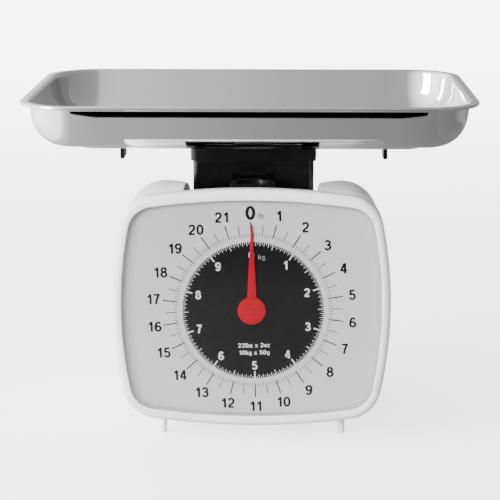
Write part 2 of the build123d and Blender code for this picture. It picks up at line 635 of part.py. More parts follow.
def save_carriage():
    save(make_carriage_frame(), "carriage_frame")
    half_pin = LEVER_X + 3
    save(rod_x(LEVER_PIN_R, -half_pin, half_pin, 0, UPPER_PIN_Z), "upper_carriage_pin")
    save(rod_x(LEVER_PIN_R, -half_pin, half_pin, 0, LOWER_PIN_Z), "lower_carriage_pin")
    save(make_rack_arm(), "rack_arm")
    arm_high = COLUMN_BOTTOM - STEEL
    rivets = [rod_z(RIVET_R, arm_high - STEEL - 0.6, COLUMN_BOTTOM, RIVET_X, y) for y in RIVET_YS]
    save(group(*rivets), "arm_rivets")
    save(make_rack(), "rack")
    save(rod_x(RACK_PIN_R, 2.2, 9.2, RACK_Y, arm_high - RACK_PIN_DROP), "rack_pin")
    save(make_rack_spring(), "rack_spring")


def save_pointer():
    save(rod_y(ARBOR_R, -74.9, -28.2, 0, ARBOR_Z), "pointer_arbor")
    save(make_pinion(), "pinion")
    save(make_pointer(), "pointer")
    save(make_pointer_cap(), "pointer_cap")


def save_zero_adjuster():
    save(make_knob_bracket(), "knob_bracket")
    head_back = FRONT_PLATE_BACK + STEEL + 1.6
    screws = [screw_y(x, BRACKET_SCREW_Z, head_back, FRONT_PLATE_BACK - 2.5) for x in BRACKET_SCREW_X]
    save(group(*screws), "bracket_screws")
    save(make_knob(), "zero_knob")
    save(rod_z(SCREW_R, YOKE_BOTTOM - 1.5, KNOB_TOP - 3.2, 0, KNOB_Y), "zero_screw")
    clip = rod_z(4.5, BRACKET_Z - 1.1, BRACKET_Z - 0.3, 0, KNOB_Y)
    save(clip - rod_z(SCREW_R + 0.02, BRACKET_Z - 5, BRACKET_Z + 5, 0, KNOB_Y), "screw_clip")
    save(make_yoke(), "spring_yoke")
    save(make_spring(-SPRING_X), "left_spring")
    save(make_spring(SPRING_X), "right_spring")


os.makedirs("parts", exist_ok=True)
save_platform()
save_case()
save_movement_frame()
save_levers()
save_carriage()
save_pointer()
save_zero_adjuster()
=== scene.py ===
import bpy
import json
import math
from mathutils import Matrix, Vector


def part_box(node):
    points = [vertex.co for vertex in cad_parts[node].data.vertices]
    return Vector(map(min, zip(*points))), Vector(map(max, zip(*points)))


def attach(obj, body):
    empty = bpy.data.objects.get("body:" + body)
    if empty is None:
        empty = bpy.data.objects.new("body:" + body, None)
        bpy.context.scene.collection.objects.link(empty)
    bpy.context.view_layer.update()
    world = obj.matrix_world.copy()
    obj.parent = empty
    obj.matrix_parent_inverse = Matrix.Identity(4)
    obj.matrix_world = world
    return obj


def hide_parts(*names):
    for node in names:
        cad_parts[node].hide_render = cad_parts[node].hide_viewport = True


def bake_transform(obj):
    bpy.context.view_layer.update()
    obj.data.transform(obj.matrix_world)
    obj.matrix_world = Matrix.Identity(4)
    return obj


MM = 0.001
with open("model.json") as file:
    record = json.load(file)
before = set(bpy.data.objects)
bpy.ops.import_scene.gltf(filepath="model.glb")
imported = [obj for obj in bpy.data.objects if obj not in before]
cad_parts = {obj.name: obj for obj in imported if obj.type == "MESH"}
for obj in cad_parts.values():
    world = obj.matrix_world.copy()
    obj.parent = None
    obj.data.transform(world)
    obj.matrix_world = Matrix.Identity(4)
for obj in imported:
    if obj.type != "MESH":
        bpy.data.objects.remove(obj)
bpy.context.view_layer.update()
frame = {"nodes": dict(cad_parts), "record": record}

tray_low, tray_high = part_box("tray")
bezel_low, bezel_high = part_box("front_bezel")
lens_low, lens_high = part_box("lens")
dial_low, dial_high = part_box("dial_plate")
arbor_low, arbor_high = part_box("pointer_arbor")
needle_low, needle_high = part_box("pointer")
ARBOR_Z = (arbor_low.z + arbor_high.z) / 2
FACE_X = (bezel_low.x + bezel_high.x) / 2
FACE_Z = (bezel_low.z + bezel_high.z) / 2


# ---------------------------------------------------------------- materials

def new_material(name, color, roughness, metallic=0.0):
    material = bpy.data.materials.new(name)
    material.use_nodes = True
    shader = material.node_tree.nodes["Principled BSDF"]
    shader.inputs["Base Color"].default_value = (*color, 1)
    shader.inputs["Roughness"].default_value = roughness
    shader.inputs["Metallic"].default_value = metallic
    return material


def add_noise(material, scale, stretch=(1, 1, 1), detail=4.0):
    """Object-space noise, stretched along an axis for brushed or drawn surfaces."""
    nodes, links = material.node_tree.nodes, material.node_tree.links
    place = nodes.new("ShaderNodeTexCoord")
    mapping = nodes.new("ShaderNodeMapping")
    mapping.inputs["Scale"].default_value = stretch
    noise = nodes.new("ShaderNodeTexNoise")
    noise.inputs["Scale"].default_value = scale
    noise.inputs["Detail"].default_value = detail
    links.new(place.outputs["Object"], mapping.inputs["Vector"])
    links.new(mapping.outputs["Vector"], noise.inputs["Vector"])
    return noise


def vary_roughness(material, noise, low, high):
    nodes, links = material.node_tree.nodes, material.node_tree.links
    shader = nodes["Principled BSDF"]
    span = nodes.new("ShaderNodeMapRange")
    span.inputs["To Min"].default_value = low
    span.inputs["To Max"].default_value = high
    links.new(noise.outputs["Fac"], span.inputs["Value"])
    links.new(span.outputs["Result"], shader.inputs["Roughness"])


def add_bump(material, noise, strength, distance):
    nodes, links = material.node_tree.nodes, material.node_tree.links
    shader = nodes["Principled BSDF"]
    bump = nodes.new("ShaderNodeBump")
    bump.inputs["Strength"].default_value = strength
    bump.inputs["Distance"].default_value = distance
    links.new(noise.outputs["Fac"], bump.inputs["Height"])
    links.new(bump.outputs["Normal"], shader.inputs["Normal"])


def polished_steel():
    material = new_material("polished_steel", (0.66, 0.66, 0.66), 0.04, 1.0)
    grain = add_noise(material, 60, stretch=(1, 18, 18))
    vary_roughness(material, grain, 0.004, 0.012)
    add_bump(material, grain, 0.005, 0.00001)
    return material


def moulded_plastic(name, color, low, high, bump=0.05, specular=0.5):
    """Fine moulding texture with slightly uneven gloss between the low and high roughness."""
    material = new_material(name, color, low)
    material.node_tree.nodes["Principled BSDF"].inputs["Specular IOR Level"].default_value = specular
    vary_roughness(material, add_noise(material, 40), low, high)
    add_bump(material, add_noise(material, 1400), bump, 0.000004)
    return material


def sheet_metal(name, color, low, high):
    material = new_material(name, color, low, 1.0)
    grain = add_noise(material, 90, stretch=(1, 1, 14))
    vary_roughness(material, grain, low, high)
    add_bump(material, grain, 0.05, 0.00005)
    return material


def printed_ink(name, color, roughness=0.5):
    material = new_material(name, color, roughness)
    noise = add_noise(material, 120)
    vary_roughness(material, noise, roughness - 0.06, roughness + 0.06)
    material.node_tree.nodes["Principled BSDF"].inputs["Specular IOR Level"].default_value = 0.25
    return material


def clear_plastic():
    material = new_material("clear_lens", (1, 1, 1), 0.02)
    shader = material.node_tree.nodes["Principled BSDF"]
    shader.inputs["Transmission Weight"].default_value = 1.0
    shader.inputs["IOR"].default_value = 1.2
    nodes, links = material.node_tree.nodes, material.node_tree.links
    see_through = nodes.new("ShaderNodeBsdfTransparent")
    see_through.inputs["Color"].default_value = (0.97, 0.97, 0.97, 1)
    gloss = nodes.new("ShaderNodeBsdfGlossy")
    gloss.inputs["Roughness"].default_value = 0.03
    facing = nodes.new("ShaderNodeFresnel")
    facing.inputs["IOR"].default_value = 1.36
    mix = nodes.new("ShaderNodeMixShader")
    links.new(facing.outputs["Fac"], mix.inputs["Fac"])
    links.new(see_through.outputs["BSDF"], mix.inputs[1])
    links.new(gloss.outputs["BSDF"], mix.inputs[2])
    links.new(mix.outputs["Shader"], nodes["Material Output"].inputs["Surface"])
    return material


MATERIALS = {
    "polished_steel": polished_steel(),
    "black_gloss": moulded_plastic("black_gloss", (0.002, 0.002, 0.002), 0.1, 0.18),
    "black_matte": moulded_plastic("black_matte", (0.003, 0.003, 0.003), 0.22, 0.32, 0.1, specular=0.3),
    "housing_white": moulded_plastic("housing_white", (0.80, 0.80, 0.80), 0.30, 0.38, 0.08),
    # The bezel's material is the housing's white plastic made darker: painted shade standing for the dimmer
    # light on its front face.
    "bezel_white": moulded_plastic("bezel_white", (0.62, 0.62, 0.62), 0.26, 0.34, 0.05),
    "dial_white": moulded_plastic("dial_white", (0.74, 0.74, 0.74), 0.42, 0.5, 0.05),
    "clear_lens": clear_plastic(),
    "needle_red": moulded_plastic("needle_red", (0.48, 0.002, 0.014), 0.3, 0.36, 0.06, specular=0.2),
    "plated_steel": sheet_metal("plated_steel", (0.52, 0.53, 0.55), 0.25, 0.42),
    "bright_steel": sheet_metal("bright_steel", (0.62, 0.62, 0.63), 0.14, 0.26),
    "spring_steel": sheet_metal("spring_steel", (0.36, 0.36, 0.38), 0.22, 0.34),
    "screw_steel": sheet_metal("screw_steel", (0.48, 0.48, 0.48), 0.22, 0.36),
    "gear_brass": sheet_metal("gear_brass", (0.72, 0.50, 0.18), 0.2, 0.34),
    "yoke_plastic": moulded_plastic("yoke_plastic", (0.55, 0.55, 0.50), 0.4, 0.5),
    "rubber": moulded_plastic("rubber", (0.02, 0.02, 0.02), 0.7, 0.85, 0.15),
}
DARK_INK = printed_ink("dark_ink", (0.006, 0.006, 0.006), 0.6)
GREY_INK = printed_ink("grey_ink", (0.10, 0.10, 0.10))
WHITE_INK = printed_ink("white_ink", (0.85, 0.85, 0.85))
PALE_INK = printed_ink("pale_ink", (0.30, 0.30, 0.30))


# ---------------------------------------------------------------- mesh helpers

def new_piece(name, vertices, faces, slot, body, replaced=(), smooth=True):
    mesh = bpy.data.meshes.new(name)
    mesh.from_pydata(vertices, [], faces)
    mesh.update()
    mesh.validate()
    piece = bpy.data.objects.new(name, mesh)
    bpy.context.scene.collection.objects.link(piece)
    mesh.materials.append(slot if isinstance(slot, bpy.types.Material) else MATERIALS[slot])
    if smooth:
        for polygon in mesh.polygons:
            polygon.use_smooth = True
    if body:
        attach(piece, body)
    if replaced:
        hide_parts(*replaced)
    return piece


def bridge_rings(rings, cyclic=False, cap_start=False, cap_end=False):
    """Quads between closed rings that all have the same number of points."""
    count = len(rings[0])
    vertices = [point for ring in rings for point in ring]
    faces = []
    steps = len(rings) if cyclic else len(rings) - 1
    for ring in range(steps):
        following = (ring + 1) % len(rings)
        for index in range(count):
            after = (index + 1) % count
            faces.append((ring * count + index, ring * count + after,
                          following * count + after, following * count + index))
    if cap_start:
        faces.append(tuple(reversed(range(count))))
    if cap_end:
        last = (len(rings) - 1) * count
        faces.append(tuple(range(last, last + count)))
    return vertices, faces


def sharpen(piece, degrees=35):
    """Keeps real corners sharp on a smooth-shaded piece."""
    split = piece.modifiers.new("corners", "EDGE_SPLIT")
    split.split_angle = math.radians(degrees)


# ---------------------------------------------------------------- tray

RIM_HALF_X = (tray_high.x - tray_low.x) / 2
RIM_HALF_Y = (tray_high.y - tray_low.y) / 2
RIM_CORNER = 34 * MM
TRAY_TOP, TRAY_UNDER = tray_high.z, tray_low.z
TRAY_SHEET, TRAY_LIP = 0.7 * MM, 2.3 * MM
FLANGE_WIDTH = 5.5 * MM
PAN_DRAFT, PAN_BEND = math.radians(8), 20 * MM
WALL_START = 1.6 * MM
BASE_STEP, BASE_STEP_INSET, BASE_STEP_CORNER = 2.5 * MM, 27.5 * MM, 11 * MM


def rim_ring(inset, z, corner=None, corner_points=16, side_points=14):
    """Rounded rectangle of the tray rim drawn inwards by inset."""
    smallest_corner = 7 * MM
    radius = max(RIM_CORNER - inset, smallest_corner) if corner is None else corner
    half_x, half_y = RIM_HALF_X - inset, RIM_HALF_Y - inset
    corners = [(half_x - radius, half_y - radius, 0), (radius - half_x, half_y - radius, 90),
               (radius - half_x, radius - half_y, 180), (half_x - radius, radius - half_y, 270)]
    ring = []
    for index, (x, y, start) in enumerate(corners):
        for step in range(corner_points + 1):
            angle = math.radians(start + 90 * step / corner_points)
            ring.append((x + radius * math.cos(angle), y + radius * math.sin(angle), z))
        next_x, next_y, next_start = corners[(index + 1) % 4]
        angle = math.radians(next_start)
        end = (next_x + radius * math.cos(angle), next_y + radius * math.sin(angle))
        begin = ring[-1]
        for step in range(1, side_points):
            share = step / side_points
            ring.append((begin[0] + (end[0] - begin[0]) * share, begin[1] + (end[1] - begin[1]) * share, z))
    return ring


def pan_profile(depth):
    """(inset, z, corner) down the wall, round the bend and over the floor, for the skin at that depth."""
    bend = PAN_BEND - depth
    floor = TRAY_UNDER + BASE_STEP + depth
    foot = FLANGE_WIDTH + depth + (TRAY_TOP - floor) * math.tan(PAN_DRAFT)
    reach = bend * math.tan((math.pi / 2 - PAN_DRAFT) / 2)
    wall_top, wall_low = TRAY_TOP - WALL_START, floor + reach * math.cos(PAN_DRAFT)
    wall_steps, bend_steps = 5, 14
    profile = []
    for step in range(wall_steps):
        z = wall_top + (wall_low - wall_top) * step / wall_steps
        profile.append((FLANGE_WIDTH + depth + (TRAY_TOP - z) * math.tan(PAN_DRAFT), z, None))
    centre_inset, centre_z = foot + reach, floor + bend
    for step in range(bend_steps + 1):
        angle = PAN_DRAFT + (math.pi / 2 - PAN_DRAFT) * step / bend_steps
        profile.append((centre_inset - bend * math.cos(angle), centre_z - bend * math.sin(angle), None))
    step_inset = FLANGE_WIDTH + BASE_STEP_INSET + depth
    for across, drop in ((-1.2, 0), (-0.6, 0.12), (0, 0.5), (0.6, 0.88), (1.2, 1)):
        profile.append((step_inset + across * MM, floor - drop * BASE_STEP, BASE_STEP_CORNER))
    for inset, corner in ((45 * MM, 9 * MM), (60 * MM, 7 * MM), (80 * MM, 4 * MM)):
        profile.append((inset, floor - BASE_STEP, corner))
    return profile


def make_tray():
    """Thin pan with a flat flange whose edge is rolled under."""
    inside = [rim_ring(*point) for point in reversed(pan_profile(TRAY_SHEET))]
    outside = [rim_ring(*point) for point in pan_profile(0)]
    # (inset, drop) in mm over the flange, round the rolled edge and back underneath
    rolled_edge = ((5.4, 0.5), (4.7, 0.08), (4.0, 0.0), (1.4, 0.0), (0.6, 0.12), (0.15, 0.5), (0.0, 1.1),
                   (0.15, 1.75), (0.55, 2.2), (1.1, 2.3), (1.5, 2.05), (1.7, 1.5), (2.0, 0.9), (3.0, 0.72),
                   (5.0, 0.8), (5.5, 1.2))
    turned = [rim_ring(inset * MM, TRAY_TOP - min(drop * MM, TRAY_LIP)) for inset, drop in rolled_edge]
    vertices, faces = bridge_rings(inside + turned + outside, cap_start=True, cap_end=True)
    tray = new_piece("tray_sheet", vertices, faces, "polished_steel", "loose_tray", ["tray"])


# ---------------------------------------------------------------- face outline

HALF_FACE_X = (bezel_high.x - bezel_low.x) / 2
HALF_FACE_Z = (bezel_high.z - bezel_low.z) / 2
SIDE_BULGE_R, TOP_BULGE_R, FACE_CORNER = 265 * MM, 430 * MM, 22 * MM
# share of the side's whole sag that is reached where the corner's round starts
CORNER_SAG_SHARE = 0.84


def face_ring(inset, y, extra_z=0.0, points=14):
    """Ring at y round the bulged square of the face, drawn in by inset, plus extra_z at top and bottom."""
    half_x, half_z = HALF_FACE_X - inset, HALF_FACE_Z - inset - extra_z
    corner_x = half_x - half_z**2 / (2 * SIDE_BULGE_R) * CORNER_SAG_SHARE
    corner_z = half_z - corner_x**2 / (2 * TOP_BULGE_R)
    side_sag, top_sag = half_x - corner_x, half_z - corner_z
    side_r = (corner_z**2 + side_sag**2) / (2 * side_sag)
    top_r = (corner_x**2 + top_sag**2) / (2 * top_sag)
    smallest_fillet = 3 * MM
    fillet = max(FACE_CORNER - inset, smallest_fillet)
    side_c, top_c = Vector((half_x - side_r, 0)), Vector((0, half_z - top_r))
    between = top_c - side_c
    gap = between.length
    along = ((side_r - fillet) ** 2 - (top_r - fillet) ** 2 + gap**2) / (2 * gap)
    across = math.sqrt((side_r - fillet) ** 2 - along**2)
    unit = between.normalized()
    centre = side_c + unit * along + Vector((-unit.y, unit.x)) * -across
    if centre.x < 0 or centre.y < 0:
        centre = side_c + unit * along + Vector((-unit.y, unit.x)) * across
    side_turn = math.atan2(centre.y - side_c.y, centre.x - side_c.x)
    top_turn = math.atan2(centre.y - top_c.y, centre.x - top_c.x)
    quarter = []
    for step in range(points):
        angle = side_turn * step / points
        quarter.append((side_c.x + side_r * math.cos(angle), side_r * math.sin(angle)))
    for step in range(points):
        angle = side_turn + (top_turn - side_turn) * step / points
        quarter.append((centre.x + fillet * math.cos(angle), centre.y + fillet * math.sin(angle)))
    for step in range(points):
        angle = top_turn + (math.pi / 2 - top_turn) * step / points
        quarter.append((top_r * math.cos(angle), top_c.y + top_r * math.sin(angle)))
    quarter.append((0, half_z))
    ring = list(quarter)
    ring += [(-x, z) for x, z in reversed(quarter[1:-1])]
    ring.append((-half_x, 0))
    ring += [(-x, -z) for x, z in quarter[1:-1]]
    ring.append((0, -half_z))
    ring += [(x, -z) for x, z in reversed(quarter[1:-1])]
    return [(FACE_X + x, y, FACE_Z + z) for x, z in ring]


WALL = 2.2 * MM
BORDER = 5.5 * MM
WINDOW_EXTRA_Z = 1.2 * MM
FIT_GAP = 0.3 * MM
PANE_GAP = 0.35 * MM


def make_bezel():
    """Rounded frame with a seam groove at the back and a small round at the window."""
    front, back = bezel_low.y, bezel_high.y
    round_r, inner_r = 4.0 * MM, 0.6 * MM
    round_steps, inner_steps = 14, 6
    rings = []
    for step in range(round_steps + 1):
        angle = math.pi / 2 * step / round_steps
        rings.append(face_ring(round_r * (1 - math.sin(angle)), front + round_r * (1 - math.cos(angle))))
    seam_groove = ((0, 1.3), (0.12, 1.1), (0.3, 1.0), (1.2, 0.95), (1.2, 0))
    for inset, ahead in seam_groove:
        rings.append(face_ring(inset * MM, back - ahead * MM))
    rings.append(face_ring(WALL, back))
    rings.append(face_ring(WALL, lens_low.y))
    rings.append(face_ring(BORDER, lens_low.y, WINDOW_EXTRA_Z))
    for step in range(inner_steps + 1):
        angle = math.pi / 2 * step / inner_steps
        rings.append(face_ring(BORDER - inner_r * (1 - math.cos(angle)),
                               front + inner_r * (1 - math.sin(angle)), WINDOW_EXTRA_Z))
    vertices, faces = bridge_rings(rings, cyclic=True)
    bezel = new_piece("bezel_ring", vertices, faces, "bezel_white", "stand", ["front_bezel"])
    sharpen(bezel, 40)


def make_lens():
    """Flat sheet with a raised pane that fills the window and has a bevelled edge."""
    pane_edge = BORDER + PANE_GAP
    rings = [face_ring(WALL + FIT_GAP, lens_high.y), face_ring(WALL + FIT_GAP, lens_low.y)]
    pane_bevel = ((0, 0), (0, 0.9), (0.25, 1.25), (0.8, 1.35))
    for inset, proud in pane_bevel:
        rings.append(face_ring(pane_edge + inset * MM, lens_low.y - proud * MM, WINDOW_EXTRA_Z))
    vertices, faces = bridge_rings(rings, cap_start=True, cap_end=True)
    lens = new_piece("lens_sheet", vertices, faces, "clear_lens", "stand", ["lens"], smooth=False)


DIAL_SHEET, DISH_DEPTH = 1.2 * MM, 4.3 * MM
DIAL_FLAT_Y = dial_low.y + DISH_DEPTH
COVE_SIDE, COVE_TOP = 8 * MM, 0.8 * MM
DIAL_OVERLAP = 0.4 * MM
# how much of the cove's run follows a circle, and the rest a straight slope
COVE_ROUND = 0.55


def cove_rings(back):
    """Rings of the coved border from the edge down to the flat, moved back by back."""
    rings = []
    steps = 12
    for step in range(steps + 1):
        share = step / steps
        depth = math.sin(share * math.pi / 2)
        run = (1 - math.cos(share * math.pi / 2)) * COVE_ROUND + share * (1 - COVE_ROUND)
        inset = BORDER - DIAL_OVERLAP - back + COVE_SIDE * run
        extra_z = WINDOW_EXTRA_Z - (COVE_SIDE - COVE_TOP) * run
        rings.append(face_ring(inset, dial_low.y + back + (DIAL_FLAT_Y - dial_low.y) * depth, extra_z))
    return rings


def make_dial():
    """Dished dial with a skirt that reaches back inside the bezel."""
    front = cove_rings(0)
    back = list(reversed(cove_rings(DIAL_SHEET)))
    edge = WALL + FIT_GAP
    outer = [face_ring(edge + DIAL_SHEET, dial_high.y), face_ring(edge, dial_high.y),
             face_ring(edge, dial_low.y)]
    vertices, faces = bridge_rings(back + outer + front, cap_start=True, cap_end=True)
    dial = new_piece("dial_dish", vertices, faces, "dial_white", "stand", ["dial_plate"])
    sharpen(dial, 40)


# ---------------------------------------------------------------- dial print

INK_LIFT = 0.05
PRINT_Y = DIAL_FLAT_Y - INK_LIFT * MM
PRINT_TILT = math.radians(-1.6)
PRINT_SHIFT_X, PRINT_SHIFT_Z = 0.8 * MM, -0.6 * MM
NEEDLE_X = (arbor_low.x + arbor_high.x) / 2
DISC_R = 43.8


def dial_point(radius, turn, lift=0.0):
    """Point on the dial, radius in mm, turn in full clockwise turns from the top."""
    angle = turn * 2 * math.pi + PRINT_TILT
    x = NEEDLE_X + PRINT_SHIFT_X + radius * MM * math.sin(angle)
    return (x, PRINT_Y - lift * MM, ARBOR_Z + PRINT_SHIFT_Z + radius * MM * math.cos(angle))


def arc(centre_x, centre_z, radius_x, radius_z, start, end, steps=18):
    """Points of an elliptical stroke, angles in degrees anticlockwise from the right."""
    points = []
    for step in range(steps + 1):
        angle = math.radians(start + (end - start) * step / steps)
        points.append((centre_x + radius_x * math.cos(angle), centre_z + radius_z * math.sin(angle)))
    return points


def stroke_sides(path, half):
    """The two sides of a stroke of even width along a path."""
    left, right = [], []
    closed = math.dist(path[0], path[-1]) < 1e-6
    for index, (u, v) in enumerate(path):
        before = path[index - 1] if index else (path[-2] if closed else path[0])
        after = path[index + 1] if index + 1 < len(path) else (path[1] if closed else path[-1])
        run, rise = after[0] - before[0], after[1] - before[1]
        length = math.hypot(run, rise)
        left.append((u - rise / length * half, v + run / length * half))
        right.append((u + rise / length * half, v - run / length * half))
    return left, right


# Centre lines of plain upright figures, one unit high.
SIX = [arc(0.285, 0.31, 0.205, 0.235, 0, 360, 28),
       [(0.08, 0.30), (0.084, 0.48), (0.11, 0.66), (0.165, 0.82), (0.225, 0.9), (0.3, 0.925), (0.375, 0.905),
        (0.43, 0.85), (0.46, 0.76)]]
GLYPHS = {
    "0": [arc(0.28, 0.5, 0.205, 0.425, 0, 360, 32)],
    "1": [[(0.32, 0.0), (0.32, 1.0)],
          [(0.07, 0.745), (0.16, 0.752), (0.225, 0.79), (0.27, 0.86), (0.29, 0.96)]],
    "2": [arc(0.28, 0.70, 0.195, 0.225, 175, -25)
          + [(0.41, 0.49), (0.3, 0.38), (0.18, 0.27), (0.11, 0.17), (0.08, 0.07)],
          [(0.03, 0.075), (0.5, 0.075)]],
    "3": [arc(0.275, 0.725, 0.175, 0.2, 165, -90), arc(0.275, 0.295, 0.205, 0.222, 90, -165),
          [(0.2, 0.52), (0.3, 0.52)]],
    "4": [[(0.35, 0.98), (0.07, 0.31)], [(0.02, 0.285), (0.54, 0.285)], [(0.385, 0.0), (0.385, 1.0)]],
    "5": [[(0.1, 0.925), (0.49, 0.925)], [(0.16, 0.96), (0.115, 0.5)],
          arc(0.275, 0.33, 0.205, 0.255, 140, -158)],
    "6": SIX,
    "7": [[(0.03, 0.925), (0.52, 0.925)],
          [(0.47, 0.93), (0.35, 0.68), (0.27, 0.44), (0.22, 0.2), (0.205, 0.0)]],
    "8": [arc(0.28, 0.735, 0.17, 0.19, 0, 360, 26), arc(0.28, 0.295, 0.205, 0.222, 0, 360, 28)],
    "9": [[(0.56 - u, 1 - v) for u, v in path] for path in SIX],
    "l": [[(0.08, 0.0), (0.08, 1.0)]],
    "b": [[(0.08, 0.0), (0.08, 1.0)], arc(0.26, 0.34, 0.18, 0.27, 0, 360, 24)],
    "k": [[(0.08, 0.0), (0.08, 1.0)], [(0.1, 0.33), (0.42, 0.7)], [(0.2, 0.42), (0.44, 0.0)]],
    "g": [arc(0.26, 0.34, 0.18, 0.27, 0, 360, 24),
          [(0.44, 0.66), (0.44, 0.0), (0.4, -0.14), (0.27, -0.2), (0.1, -0.14)]],
    "o": [arc(0.26, 0.34, 0.2, 0.27, 0, 360, 24)],
    "z": [[(0.05, 0.61), (0.43, 0.61)], [(0.42, 0.62), (0.07, 0.07)], [(0.04, 0.07), (0.45, 0.07)]],
    "x": [[(0.05, 0.68), (0.42, 0.0)], [(0.42, 0.68), (0.05, 0.0)]],
    "s": [arc(0.24, 0.49, 0.16, 0.14, 40, 270), arc(0.24, 0.2, 0.17, 0.15, 90, -145)],
    " ": [],
}
GLYPH_WIDTH = {"1": 0.46, "l": 0.16, "b": 0.48, "k": 0.46, "g": 0.5, "o": 0.5, "z": 0.48, "x": 0.46,
               "s": 0.46, " ": 0.3}
FIGURE_WIDTH, LETTER_GAP = 0.56, 0.1


class Print:
    """Flat printed shapes collected into one mesh."""

    def __init__(self, name, ink, lift=0.0):
        self.name, self.ink, self.lift = name, ink, lift
        self.vertices, self.faces = [], []

    def polygon(self, points):
        start = len(self.vertices)
        self.vertices += points
        self.faces.append(tuple(range(start, start + len(points))))

    def tick(self, turn, inner, outer, width):
        along_in, along_out = dial_point(inner, turn, self.lift), dial_point(outer, turn, self.lift)
        angle = turn * 2 * math.pi + PRINT_TILT
        side = (width / 2 * MM * math.cos(angle), 0, -width / 2 * MM * math.sin(angle))
        self.polygon([
            tuple(a - b for a, b in zip(along_in, side)), tuple(a + b for a, b in zip(along_in, side)),
            tuple(a + b for a, b in zip(along_out, side)), tuple(a - b for a, b in zip(along_out, side)),
        ])

    def words(self, text, centre, height, weight=0.15, width=1.0):
        """Upright words with capitals of that height in mm, centred on a dial point."""
        advance = [GLYPH_WIDTH.get(letter, FIGURE_WIDTH) + LETTER_GAP for letter in text]
        across = -(sum(advance) - LETTER_GAP) / 2
        tilt_cos, tilt_sin = math.cos(PRINT_TILT), math.sin(PRINT_TILT)
        for letter, step in zip(text, advance):
            for path in GLYPHS[letter]:
                left, right = stroke_sides(path, weight / 2)
                places = []
                for u, v in left + right:
                    x = (across + u) * width * height * MM
                    z = (v - 0.5) * height * MM
                    places.append((centre[0] + x * tilt_cos + z * tilt_sin, centre[1],
                                   centre[2] + z * tilt_cos - x * tilt_sin))
                count = len(left)
                for index in range(count - 1):
                    other = count + index
                    self.polygon([places[index], places[index + 1], places[other + 1], places[other]])
            across += step

    def finish(self):
        piece = new_piece(self.name, self.vertices, self.faces, self.ink, "stand", smooth=False)


FULL_POUNDS, STEPS_PER_POUND = 22, 8
POUND_STEPS = FULL_POUNDS * STEPS_PER_POUND
POUND_RING = 62.1
ZERO_RING = 62.0
FULL_KILOGRAMS, STEPS_PER_KILOGRAM = 10, 20
KILOGRAM_STEPS = FULL_KILOGRAMS * STEPS_PER_KILOGRAM
KILOGRAM_RING = 35.4


def print_pounds():
    """Black ticks each half pound, grey ticks between them at each 2 ounces, and the numerals."""
    ink = Print("pound_scale", DARK_INK)
    for step in range(POUND_STEPS):
        turn = step / POUND_STEPS
        if step % STEPS_PER_POUND == 0:
            ink.tick(turn, 47, 56.3, 0.72)
        elif step % (STEPS_PER_POUND // 2) == 0:
            ink.tick(turn, 47, 54.6, 0.46)
    for pound in range(1, FULL_POUNDS):
        ink.words(str(pound), dial_point(POUND_RING, pound / FULL_POUNDS), 6.5, weight=0.185, width=1.16)
    ink.words("0", dial_point(ZERO_RING, 0), 8.4, weight=0.2, width=1.2)
    ink.finish()
    fine = Print("ounce_ticks", GREY_INK)
    for step in range(POUND_STEPS):
        if step % (STEPS_PER_POUND // 2):
            fine.tick(step / POUND_STEPS, 46.9, 49.4, 0.4)
    x, y, z = dial_point(ZERO_RING, 0)
    fine.words("lb", (x + 6.6 * MM, y, z - 1.8 * MM), 3.8, weight=0.12, width=1.2)
    fine.finish()


def print_kilograms():
    """Black disc with white ticks each 50 grams, the numerals and the capacity lines."""
    disc = Print("black_disc", DARK_INK)
    sides = 160
    disc.polygon([dial_point(DISC_R, -index / sides) for index in range(sides)])
    disc.finish()
    white = Print("kilogram_scale", WHITE_INK, lift=INK_LIFT)
    for step in range(KILOGRAM_STEPS):
        turn = step / KILOGRAM_STEPS
        if step % STEPS_PER_KILOGRAM == 0:
            length, width = 4.6, 0.9
        elif step % (STEPS_PER_KILOGRAM // 2) == 0:
            length, width = 3.6, 0.5
        elif step % 2 == 0:
            length, width = 2.4, 0.38
        else:
            length, width = 1.5, 0.32
        white.tick(turn, DISC_R - length, DISC_R, width)
    for kilogram in range(FULL_KILOGRAMS):
        place = dial_point(KILOGRAM_RING, kilogram / FULL_KILOGRAMS, INK_LIFT)
        white.words(str(kilogram), place, 5.4, weight=0.2, width=1.1)
    for line, drop in (("22lbs x 2oz", 22.2), ("10kg x 50g", 26.9)):
        white.words(line, dial_point(drop, 0.5, INK_LIFT), 2.8, weight=0.19, width=1.22)
    white.finish()
    unit = Print("kilogram_label", PALE_INK, lift=INK_LIFT)
    x, y, z = dial_point(KILOGRAM_RING, 0, INK_LIFT)
    unit.words("kg", (x + 6.2 * MM, y, z - 1.0 * MM), 3.2, weight=0.14, width=1.25)
    unit.finish()


# ---------------------------------------------------------------- pointer

